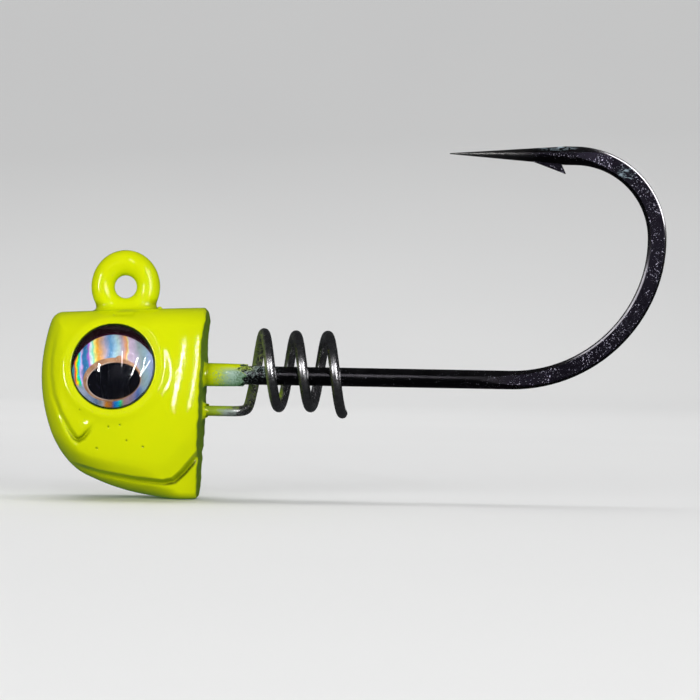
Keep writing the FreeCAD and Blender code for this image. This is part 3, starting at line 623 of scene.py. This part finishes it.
def black_nickel():
    s = Shader("black_nickel")
    flats = s.math("MULTIPLY", s.step(0.9, 0.985, s.math("ABSOLUTE", s.ny)),
                   s.step(34.0, 38.0, s.x))
    grit = s.noise(11.0, 4.0, 0.75)
    # painted glints: pale dots that are not metal, scattered over the forged flats
    painted_glints = s.step(0.625, 0.66, s.noise(7.5, 2.0, 0.6))
    painted_glints = s.math("MULTIPLY", painted_glints, s.step(0.42, 0.56, s.noise(0.9, 3.0, 0.6)))
    smudge = s.noise(0.5, 3.0)
    base = s.ramp(smudge, ((0.3, (0.018, 0.017, 0.020)), (0.7, (0.036, 0.034, 0.038))))
    on_flats = s.mix(painted_glints, (0.008, 0.007, 0.011), (0.50, 0.48, 0.62))
    colour = s.mix(flats, base, on_flats)
    # painted sparkle: pale dots that are not metal along the shank, and the pale rubs on the bend
    # and the butt of the point
    painted_sparkle = s.step(0.62, 0.68, s.noise(8.0, 3.0, 0.75))
    painted_sparkle = s.math("MULTIPLY", painted_sparkle, s.step(0.45, 0.60, s.noise(1.1, 2.0)))
    colour = s.mix(painted_sparkle, colour, (0.24, 0.24, 0.28))
    streaks = s.step(0.48, 0.62, s.noise(3.0, 4.0, 0.7, stretch=(0.6, 2.0, 2.2)))
    rub = s.math("MAXIMUM", s.near(47.9, 11.75, 1.0, 0.75), s.near(41.0, 14.15, 2.6, 0.5))
    rub = s.math("MULTIPLY", s.math("MULTIPLY", rub, streaks), 0.75)
    colour = s.mix(rub, colour, (0.34, 0.44, 0.50))
    # the ground point is brighter than the plated wire
    point = s.math("MULTIPLY", s.step(40.0, 31.0, s.x), s.step(8.0, 9.0, s.z))
    brushed = s.noise(4.0, 4.0, 0.7, stretch=(0.4, 2.0, 2.0))
    ground = s.mix(brushed, (0.16, 0.155, 0.15), (0.5, 0.49, 0.47))
    colour = s.mix(point, colour, ground)
    # paint mist where the shank leaves its sleeve
    grain = s.noise(6.0, 4.0, 0.75)
    coarse = s.noise(1.4, 2.0)
    spread = s.math("SUBTRACT", s.math("ADD", 11.6, s.math("MULTIPLY", coarse, 2.4)), s.x)
    spread = s.math("ADD", spread, s.math("MULTIPLY", s.nz, 1.2))
    mist = s.math("ADD", s.math("MULTIPLY", spread, 0.28),
                  s.math("MULTIPLY", s.math("SUBTRACT", grain, 0.5), 5.0), clamp=True)
    mist = s.math("MULTIPLY", mist, s.step(17.0, 14.0, s.x))
    mist = s.math("MULTIPLY", mist, s.step(-7.0, -7.3, s.z))
    hue = s.math("ADD", s.math("MULTIPLY", s.math("SUBTRACT", s.x, 9.0), 0.7),
                 s.math("MULTIPLY", s.math("SUBTRACT", coarse, 0.5), 2.2), clamp=True)
    pale_side = s.math("MAXIMUM", s.step(0.75, 0.35, s.nz), s.step(11.8, 12.8, s.x))
    hue = s.math("MULTIPLY", hue, pale_side)
    powder = s.mix(hue, (0.42, 0.56, 0.01), (0.34, 0.44, 0.42))
    colour = s.mix(mist, colour, powder)
    metal = s.math("SUBTRACT", 1.0, s.math("MAXIMUM", s.math("MAXIMUM", mist, painted_sparkle),
                                         s.math("MULTIPLY", flats, painted_glints)))
    rough = s.lerp(flats, s.range(smudge, 0.16, 0.26), s.range(grit, 0.22, 0.42))
    rough = s.lerp(s.math("MAXIMUM", mist, rub), rough, 0.6)
    bevel = s.node("ShaderNodeBevel", {"Radius": 0.10 * MM}, samples=4).outputs[0]
    normal = s.bump(grit, s.range(flats, 0.001, 0.006), bevel)
    normal = s.bump(grain, s.math("MULTIPLY", mist, 0.03), normal)
    return s.finish(s.surface(base_color=colour, metallic=metal, roughness=rough, normal=normal))


def keeper_steel():
    s = Shader("keeper_spring_steel")
    drawn = s.noise(2.2, 4.0, 0.6, distortion=0.4)
    colour = s.ramp(drawn, ((0.3, (0.23, 0.225, 0.235)), (0.7, (0.34, 0.335, 0.345))))
    stain = s.step(0.60, 0.72, s.noise(5.0, 4.0, 0.7))
    colour = s.mix(s.math("MULTIPLY", stain, 0.25), colour, (0.05, 0.045, 0.04))
    rust = s.math("MULTIPLY", s.step(0.72, 0.78, s.noise(4.0, 3.0, 0.6)), 0.5)
    colour = s.mix(rust, colour, (0.30, 0.12, 0.03))
    grain = s.noise(6.0, 4.0, 0.75)
    coarse = s.noise(1.4, 2.0)
    # paint mist: all over the leg by the head, then on its head side, last on the first loop
    facing = s.math("MULTIPLY", s.nx, -1.0)
    reach = s.math("ADD", 11.9, s.math("MULTIPLY", facing, 1.6))
    spread = s.math("SUBTRACT", reach, s.x)
    mist = s.math("ADD", s.math("MULTIPLY", spread, 0.45),
                  s.math("MULTIPLY", s.math("SUBTRACT", grain, 0.5), 4.5), clamp=True)
    behind = s.math("MULTIPLY", s.step(0.0, 1.5, s.y), s.step(15.0, 13.6, s.x))
    dusted = s.math("MULTIPLY", behind, s.step(0.50, 0.60, s.noise(5.0, 4.0, 0.75)))
    mist = s.math("MAXIMUM", mist, s.math("MULTIPLY", dusted, 0.6))
    film = s.math("MULTIPLY", s.step(0.25, 0.95, facing), s.step(17.5, 12.0, s.x))
    film = s.math("MULTIPLY", film, s.step(0.40, 0.60, grain))
    mist = s.math("MAXIMUM", mist, s.math("MULTIPLY", film, 0.75))
    spot = s.math("MULTIPLY", s.near(14.95, -10.0, 0.4, 0.8), s.step(0.0, 0.8, s.y))
    mist = s.math("MAXIMUM", mist, s.math("MULTIPLY", spot, s.step(0.35, 0.5, grain)))
    hue = s.math("ADD", s.math("MULTIPLY", s.math("SUBTRACT", s.x, 8.8), 1.1),
                 s.math("MULTIPLY", s.math("SUBTRACT", coarse, 0.5), 2.6), clamp=True)
    hue = s.math("MULTIPLY", hue, s.step(12.6, 11.4, s.x))
    hue = s.math("MULTIPLY", hue, s.step(0.6, 0.1, s.math("MAXIMUM", facing, s.nz)))
    powder = s.mix(hue, (0.36, 0.50, 0.01), (0.34, 0.42, 0.38))
    colour = s.mix(mist, colour, powder)
    normal = s.bump(drawn, 0.0018)
    normal = s.bump(grain, s.math("MULTIPLY", mist, 0.03), normal)
    rough = s.lerp(mist, s.range(drawn, 0.20, 0.34), 0.6)
    return s.finish(s.surface(base_color=colour, metallic=s.math("SUBTRACT", 1.0, mist),
                              roughness=rough, normal=normal))


def adhesive():
    s = Shader("eye_adhesive_pad")
    foam = s.cells(6.0)
    colour = s.mix(foam, (0.72, 0.72, 0.70), (0.85, 0.85, 0.83))
    return s.finish(s.surface(base_color=colour, roughness=0.8, normal=s.bump(foam, 0.02)))


def eye_film():
    """Printed eye under the dome, drawn about the eye's centre in the side view."""
    s = Shader("holographic_eye_film")
    centre = middle("eye_film_left")
    swell = 0.90                                   # the dome enlarges what lies under it
    u = s.math("MULTIPLY", s.math("SUBTRACT", s.x, centre.x), 1 / swell)
    v = s.math("MULTIPLY", s.math("SUBTRACT", s.z, centre.z), 1 / swell)

    def ellipse(at_u, at_v, half_u, half_v, tilt):
        c, d = math.cos(math.radians(tilt)), math.sin(math.radians(tilt))
        du, dv = s.math("SUBTRACT", u, at_u), s.math("SUBTRACT", v, at_v)
        along = s.math("ADD", s.math("MULTIPLY", du, c / half_u),
                       s.math("MULTIPLY", dv, d / half_u))
        across = s.math("SUBTRACT", s.math("MULTIPLY", dv, c / half_v),
                        s.math("MULTIPLY", du, d / half_v))
        total = s.math("ADD", s.math("MULTIPLY", along, along), s.math("MULTIPLY", across, across))
        return s.math("SQRT", total)

    # rainbow bands across the foil: one run of colours above the pupil and one below it
    wobble = s.math("MULTIPLY", s.math("SUBTRACT", s.noise(0.7, 3.0), 0.5), 0.9)
    ripple = s.noise(5.0, 2.0, stretch=(1.0, 1.0, 0.3))
    ripple = s.math("MULTIPLY", s.math("SUBTRACT", ripple, 0.5), 0.35)
    lean = s.math("MULTIPLY", v, 0.08)
    band = s.math("ADD", s.math("ADD", s.math("ADD", u, wobble), ripple), lean)
    band = s.math("DIVIDE", s.math("ADD", band, SOCKET_RADIUS), 2 * SOCKET_RADIUS)
    foil = s.ramp(band, (
        (0.00, (0.10, 0.30, 0.35)), (0.035, (0.95, 0.12, 0.03)), (0.055, (0.95, 0.80, 0.05)),
        (0.075, (0.04, 0.80, 0.25)), (0.095, (0.20, 0.75, 0.95)), (0.115, (0.85, 0.60, 0.90)),
        (0.14, (0.10, 0.22, 0.42)), (0.20, (0.12, 0.30, 0.50)), (0.225, (0.60, 0.22, 0.70)),
        (0.25, (0.85, 0.95, 0.98)), (0.275, (0.30, 0.85, 0.60)), (0.30, (0.95, 0.85, 0.35)),
        (0.33, (0.95, 0.52, 0.20)),
        (0.38, (0.70, 0.46, 0.32)), (0.43, (0.38, 0.36, 0.46)), (0.49, (0.20, 0.36, 0.56)),
        (0.54, (0.40, 0.56, 0.66)), (0.58, (0.46, 0.60, 0.58)), (0.62, (0.44, 0.38, 0.44)),
        (0.67, (0.72, 0.36, 0.20)), (0.69, (0.66, 0.62, 0.30)), (0.71, (0.52, 0.40, 0.50)),
        (0.78, (0.42, 0.36, 0.44)), (0.85, (0.24, 0.29, 0.29)), (0.93, (0.22, 0.30, 0.34)),
        (1.00, (0.30, 0.34, 0.50))))
    under = s.math("ADD", s.math("ADD", u, wobble), SOCKET_RADIUS)
    under = s.math("DIVIDE", under, 2 * SOCKET_RADIUS)
    low_foil = s.ramp(under, (
        (0.15, (0.36, 0.40, 0.50)), (0.30, (0.16, 0.22, 0.34)), (0.37, (0.30, 0.32, 0.34)),
        (0.42, (0.50, 0.24, 0.10)), (0.49, (0.34, 0.16, 0.10)), (0.53, (0.04, 0.22, 0.62)),
        (0.58, (0.05, 0.40, 0.62)), (0.61, (0.05, 0.55, 0.22)), (0.66, (0.46, 0.30, 0.30)),
        (0.74, (0.34, 0.28, 0.36)), (0.82, (0.14, 0.20, 0.42)), (0.90, (0.26, 0.34, 0.42))))
    foil = s.mix(s.step(-1.6, -2.3, v), foil, low_foil)
    shade = s.range(s.noise(1.6, 6.0, 0.8), 0.10, 1.55)
    grey = s.node("ShaderNodeCombineXYZ", {0: shade, 1: shade, 2: shade}).outputs[0]
    foil = s.mix(1.0, foil, grey, "MULTIPLY")
    foil = s.node("ShaderNodeHueSaturation", {"Color": foil, "Saturation": 1.25}).outputs[0]
    # copper rim round the pupil, thick at the left, with a small peak above
    copper = ellipse(-0.02, -1.34, 2.86, 2.10, 9.0)
    pupil = ellipse(0.17, -1.46, 2.60, 1.78, 9.0)
    peak = ellipse(0.62, 0.80, 0.30, 0.20, 12.0)
    bronze = s.ramp(s.noise(2.0, 4.0, 0.65),
                    ((0.3, (0.20, 0.085, 0.035)), (0.7, (0.46, 0.25, 0.13))))
    foil = s.mix(s.step(1.02, 0.985, s.math("MINIMUM", copper, peak)), foil, bronze)
    # painted highlight: a pale line along the left edge of the pupil
    edge = s.math("MULTIPLY", s.step(1.055, 1.02, pupil), s.step(0.6, -1.0, u))
    foil = s.mix(s.math("MULTIPLY", edge, 0.75), foil, (0.62, 0.48, 0.40))
    foil = s.mix(s.step(1.015, 0.985, pupil), foil, (0.003, 0.003, 0.005))
    # dark lid across the top
    lid = ellipse(0.26, -1.52, 4.57, 4.57, 0.0)
    maroon = s.mix(s.step(1.0, 1.06, lid), (0.035, 0.004, 0.016), (0.008, 0.002, 0.003))
    foil = s.mix(s.step(0.992, 1.004, lid), foil, maroon)

    def scratch_glint(points, half_width):
        """A scratch along a broken line of (u, v) points, white as a painted glint."""
        place = s.node("ShaderNodeCombineXYZ", {0: u, 1: v, 2: 0.0}).outputs[0]
        nearest = None
        for (u0, v0), (u1, v1) in zip(points, points[1:]):
            run = Vector((u1 - u0, v1 - v0, 0.0))
            offset = s.vector("SUBTRACT", place, (u0, v0, 0.0))
            along = s.vector("DOT_PRODUCT", offset, tuple(run))
            share = s.math("DIVIDE", along, run.length_squared, clamp=True)
            reach = s.node("ShaderNodeVectorMath", {0: tuple(run), 3: share}, operation="SCALE")
            gap = s.vector("LENGTH", s.vector("SUBTRACT", offset, reach.outputs[0]))
            nearest = gap if nearest is None else s.math("MINIMUM", nearest, gap)
        return s.step(half_width, half_width * 0.35, nearest)

    # scratches in the film, drawn white and glowing faintly: painted glints on them
    glinting_scratches = scratch_glint(((2.95, -0.55), (3.72, 0.65)), 0.055)
    glinting_scratches = s.math("MULTIPLY", glinting_scratches, s.step(0.25, 0.5, s.noise(3.0, 2.0)))
    foil = s.mix(glinting_scratches, foil, (0.9, 0.9, 0.95))
    painted_glint_emission = s.mix(glinting_scratches, (0.0, 0.0, 0.0), (0.5, 0.5, 0.55))
    shiny = s.math("MULTIPLY", s.step(0.985, 1.02, pupil), s.step(1.01, 0.99, lid))
    rough = s.range(s.noise(4.0, 3.0), 0.28, 0.42)
    normal = s.bump(s.noise(6.0, 2.0), 0.004)
    return s.finish(s.surface(base_color=foil, metallic=s.math("MULTIPLY", shiny, 0.45),
                              specular_ior_level=s.math("MULTIPLY", shiny, 0.4), roughness=rough,
                              normal=normal, emission_color=painted_glint_emission, emission_strength=1.0))


def clear_dome():
    """Clear resin: refracts what is under it, and lets lamplight through to the film."""
    s = Shader("clear_eye_dome")
    normal = s.bump(s.noise(1.0, 2.0), 0.004)
    dusty = s.step(0.70, 0.78, s.noise(8.0, 3.0, 0.7))
    rough = s.range(dusty, 0.0, 0.06)
    glass = s.node("ShaderNodeBsdfGlass", {"Color": (0.97, 0.985, 1.0), "IOR": 1.5,
                                           "Normal": normal, "Roughness": rough}).outputs[0]
    through = s.node("ShaderNodeBsdfTransparent", {"Color": (0.94, 0.96, 0.98)}).outputs[0]
    shadow = s.node("ShaderNodeLightPath").outputs["Is Shadow Ray"]
    return s.finish(s.node("ShaderNodeMixShader", {0: shadow, 1: glass, 2: through}).outputs[0])


def studio_sweep():
    s = Shader("pale_sweep")
    cloud = s.noise(0.01, 2.0)
    colour = s.mix(cloud, (0.78, 0.78, 0.78), (0.82, 0.82, 0.815))
    return s.finish(s.surface(base_color=colour, roughness=0.9))


def paint_with(obj, material):
    if not obj.data.materials:
        obj.data.materials.append(material)
    for slot in obj.material_slots:
        slot.link = "OBJECT"
        slot.material = material


film_material, dome_material, adhesive_material = eye_film(), clear_dome(), adhesive()
paint_with(paint, chartreuse())
paint_with(casting, lead())
for node_name, material in (("hook", black_nickel()), ("bait_keeper_coil", keeper_steel()),
                            ("eye_adhesive_left", adhesive_material),
                            ("eye_adhesive_right", adhesive_material),
                            ("eye_film_left", film_material), ("eye_film_right", film_material),
                            ("eye_lens_left", dome_material), ("eye_lens_right", dome_material)):
    paint_with(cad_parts[node_name], material)


# ------------------------------------------------------------------ floor, light, camera

def sweep(name, floor_z, front, back, rise, half_width, bend):
    """A floor that curves up into a backdrop."""
    profile = [(front, floor_z), (back - bend, floor_z)]
    for i in range(1, 17):
        angle = math.pi / 2 * i / 16
        profile.append((back - bend + bend * math.sin(angle),
                        floor_z + bend * (1 - math.cos(angle))))
    profile.append((back, floor_z + rise))
    verts = [(x, y, z) for x in (-half_width, half_width) for y, z in profile]
    count = len(profile)
    faces = [(i, i + count, i + count + 1, i + 1) for i in range(count - 1)]
    mesh = bpy.data.meshes.new(name)
    mesh.from_pydata(verts, [], faces)
    mesh.polygons.foreach_set("use_smooth", [True] * len(faces))
    obj = bpy.data.objects.new(name, mesh)
    bpy.context.scene.collection.objects.link(obj)
    return obj


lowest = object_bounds()[0][2]
backdrop = sweep("studio_sweep", floor_z=lowest - 0.05 * MM, front=-0.6, back=0.90, rise=1.4,
                 half_width=1.3, bend=0.45)
paint_with(backdrop, studio_sweep())
# the sweep lies outside the reflections, as a distant wall would
backdrop.visible_glossy = False
backdrop.visible_diffuse = False


def softbox(name, azimuth, elevation, distance, width, height, radiance, lean=0.0,
            target=(0.01, 0.0, -0.008)):
    """A rectangular lamp, aimed at the target, by default behind the head.

    Azimuth 0 is the camera's side, and positive to the right.  Lean turns it about its aim."""
    a, e = math.radians(azimuth), math.radians(elevation)
    out = Vector((math.sin(a) * math.cos(e), -math.cos(a) * math.cos(e), math.sin(e)))
    lamp = bpy.data.lights.new(name, "AREA")
    lamp.shape = "RECTANGLE"
    lamp.size, lamp.size_y = width, height
    lamp.energy = radiance * math.pi * width * height
    obj = bpy.data.objects.new(name, lamp)
    bpy.context.scene.collection.objects.link(obj)
    obj.location = Vector(target) + out * distance
    aim = out.to_track_quat("Z", "Y").to_matrix() @ Matrix.Rotation(math.radians(lean), 3, "Z")
    obj.rotation_euler = aim.to_euler()
    return obj


# three soft lamps shape the paint, and narrow strips draw its highlights
for soft in (softbox("key_softbox", -26, 10, 0.60, 0.42, 0.32, 5.1),
             softbox("fill_softbox", -40, 60, 0.60, 0.40, 0.40, 0.35),
             softbox("rear_softbox", -172, 40, 0.60, 0.50, 0.40, 1.2)):
    soft.visible_glossy = False
softbox("near_strip", 26, 10, 0.50, 0.018, 0.34, 50.0, lean=-22)
softbox("far_strip", 43, 10, 0.50, 0.012, 0.34, 50.0, lean=-22)
softbox("camera_strip", 1.5, 24, 0.48, 0.012, 0.26, 18.0)
softbox("cheek_spark", -42, 6, 0.50, 0.035, 0.12, 60.0).visible_diffuse = False


def light_only(lamp, lit_object):
    """Let a lamp light one object and nothing else."""
    lit = bpy.data.collections.new("lit_by_" + lamp.name)
    lit.objects.link(lit_object)
    lamp.light_linking.receiver_collection = lit


backdrop_lamp = softbox("backdrop_lamp", 0, 75, 0.9, 1.2, 0.5, 3.2, target=(0.02, 0.45, -0.02))
light_only(backdrop_lamp, backdrop)
# bright lines along the edges of the hook, and a broad sheen on the keeper's wire
for edge_light in (softbox("right_edge_light", 103, 36, 0.60, 0.55, 0.55, 30.0),
                   softbox("left_edge_light", -103, 40, 0.60, 0.55, 0.55, 14.0)):
    edge_light.visible_diffuse = False
    light_only(edge_light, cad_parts["hook"])
wire_light = softbox("wire_light", -2, 14, 0.50, 0.40, 0.14, 3.2)
wire_light.visible_diffuse = False
light_only(wire_light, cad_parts["bait_keeper_coil"])

world = bpy.data.worlds.new("studio")
bpy.context.scene.world = world
world.use_nodes = True
sky = world.node_tree.nodes["Background"]
sky.inputs["Color"].default_value = (0.9, 0.95, 1.0, 1.0)
sky.inputs["Strength"].default_value = 0.05
bpy.context.scene.view_settings.view_transform = "Standard"

CAMERA_PLACE, CAMERA_LENS, CAMERA_ROLL = (0.02167, -0.250, -0.00566), 133.7, math.radians(1.05)
camera = bpy.data.cameras.new("camera")
camera.sensor_width = 36.0
camera.lens = CAMERA_LENS
camera.clip_start = 0.01
view = bpy.data.objects.new("camera", camera)
bpy.context.scene.collection.objects.link(view)
view.location = CAMERA_PLACE
level = Matrix.Rotation(math.pi / 2, 3, "X")
view.rotation_euler = (level @ Matrix.Rotation(CAMERA_ROLL, 3, "Z")).to_euler()
bpy.context.scene.camera = view
